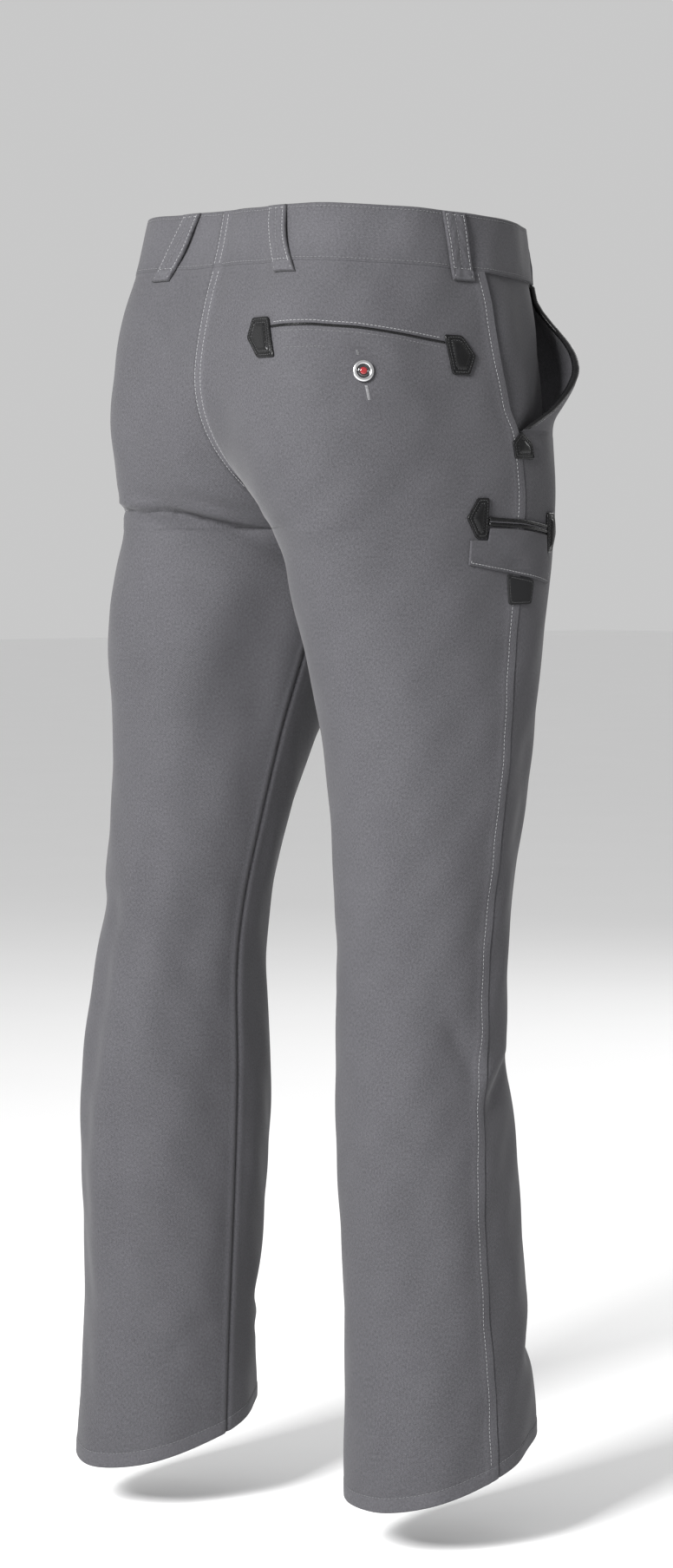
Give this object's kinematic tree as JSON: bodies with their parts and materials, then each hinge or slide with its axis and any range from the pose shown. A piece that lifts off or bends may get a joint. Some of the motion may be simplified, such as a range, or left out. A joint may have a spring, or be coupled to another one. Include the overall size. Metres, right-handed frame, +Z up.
{
  "type": "work trousers",
  "caption": "Hollow pair of heavy cotton work trousers with a buttoned rear pocket, a side ruler pocket and leather pocket corners.",
  "frame": {"origin": "centre of the waist opening, 10 mm below the top edge of the waistband; the place where the waist holds the garment", "axes": "+Z up along the garment, front towards -Y, the wearer's right side towards -X"},
  "size_m": [0.413, 0.2778, 1.0387],
  "materials": {
    "cloth": "mid-grey heavy cotton, smooth napped face",
    "facing": "mid-grey heavy cotton, pocket facing",
    "leather": "glossy black leather",
    "tab": "black woven tape",
    "button_metal": "bright nickel",
    "button_core": "glossy black with a dark red centre"
  },
  "bodies": {
    "root": {"front_right": "cloth", "front_left": "cloth", "back_right": "cloth", "back_left": "cloth", "waistband_right": "cloth", "waistband_left": "cloth", "belt_loop_back_right": "cloth", "belt_loop_side_right": "cloth", "belt_loop_front_right": "cloth", "belt_loop_back_left": "cloth", "belt_loop_side_left": "cloth", "belt_loop_front_left": "cloth", "fly_flap": "cloth", "pocket_facing_right": "facing", "pocket_facing_left": "facing", "ruler_pocket_strip": "facing", "pocket_binding_right": "leather", "pocket_binding_left": "leather", "front_pocket_patch_right": "leather", "front_pocket_patch_left": "leather", "back_pocket_edge": "leather", "back_pocket_patch_inner": "leather", "back_pocket_patch_outer": "leather", "ruler_pocket_edge": "leather", "ruler_pocket_patch_back": "leather", "ruler_pocket_patch_front": "leather", "ruler_pocket_tab": "tab", "back_pocket_button_ring": "button_metal", "back_pocket_button_core": "button_core", "waist_button": "button_metal"}
  },
  "joints": []
}
